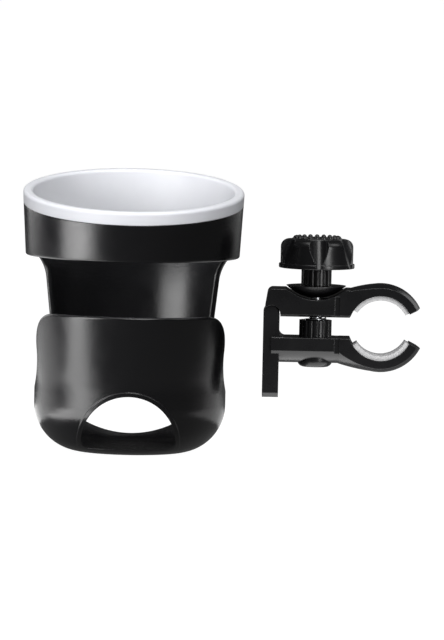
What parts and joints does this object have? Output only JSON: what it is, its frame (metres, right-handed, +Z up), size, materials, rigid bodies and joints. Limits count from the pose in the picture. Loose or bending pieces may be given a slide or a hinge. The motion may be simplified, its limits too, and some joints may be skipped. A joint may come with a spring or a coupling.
{
  "type": "clamp cup holder",
  "caption": "Black moulded cup holder with a soft light rim, beside the screw clamp that carries it on a tube.",
  "frame": {"origin": "on the axis of the clamped tube, midway along the jaws", "axes": "+X away from the cup, +Y along the tube, +Z up along the clamp screw"},
  "size_m": [0.1818, 0.1122, 0.1262],
  "materials": {
    "holder_plastic": "fine grained satin",
    "clamp_plastic": "satin moulded",
    "liner_silicone": "soft matt silicone",
    "pad_rubber": "textured rubber",
    "zinc_steel": "zinc plated",
    "slip_nylon": "natural nylon"
  },
  "bodies": {
    "clamp_frame": {"clamp_frame": "clamp_plastic", "lower_jaw_pad": "pad_rubber", "spacer_sleeve": "clamp_plastic", "lock_nut": "zinc_steel", "nut_cap": "clamp_plastic", "hinge_pin": "zinc_steel", "return_spring": "zinc_steel"},
    "cup_holder": {"cup_shell": "holder_plastic", "rear_socket": "holder_plastic", "socket_screws": "zinc_steel"},
    "liner": {"rim_liner": "liner_silicone"},
    "upper_jaw": {"upper_jaw": "clamp_plastic", "upper_jaw_pad": "pad_rubber"},
    "washer": {"dome_washer": "clamp_plastic", "thrust_washer": "slip_nylon"},
    "knob": {"knob": "clamp_plastic", "knob_cap": "clamp_plastic", "knob_collar": "clamp_plastic", "clamp_screw": "zinc_steel", "retaining_clip": "zinc_steel"}
  },
  "joints": [
    {"name": "holder_dock", "type": "hinge", "parent": "clamp_frame", "child": "cup_holder", "pos_m": [-0.1082, -0.005, 0], "axis": [0, 0, -1], "range_deg": [0, 90]},
    {"name": "liner_lift", "type": "slide", "parent": "cup_holder", "child": "liner", "axis": [0, 0, 1], "range_m": [0, 0.05]},
    {"name": "screw_travel", "type": "slide", "parent": "clamp_frame", "child": "washer", "axis": [0, 0, 1], "range_m": [-0.0004, 0.008]},
    {"name": "knob_turn", "type": "hinge", "parent": "washer", "child": "knob", "pos_m": [-0.0295, 0, 0], "axis": [0, 0, 1], "range_deg": [-144, 2880]},
    {"name": "jaw_swing", "type": "hinge", "parent": "clamp_frame", "child": "upper_jaw", "pos_m": [-0.0496, 0, 0.0057], "axis": [0, -1, 0], "range_deg": [-0.57, 11.46], "deforming": ["return_spring"]}
  ],
  "couplings": [
    {"joint": "screw_travel", "follows": "knob_turn", "m_per_rad": 0.00015915},
    {"joint": "jaw_swing", "follows": "knob_turn", "ratio": 0.0039789}
  ]
}
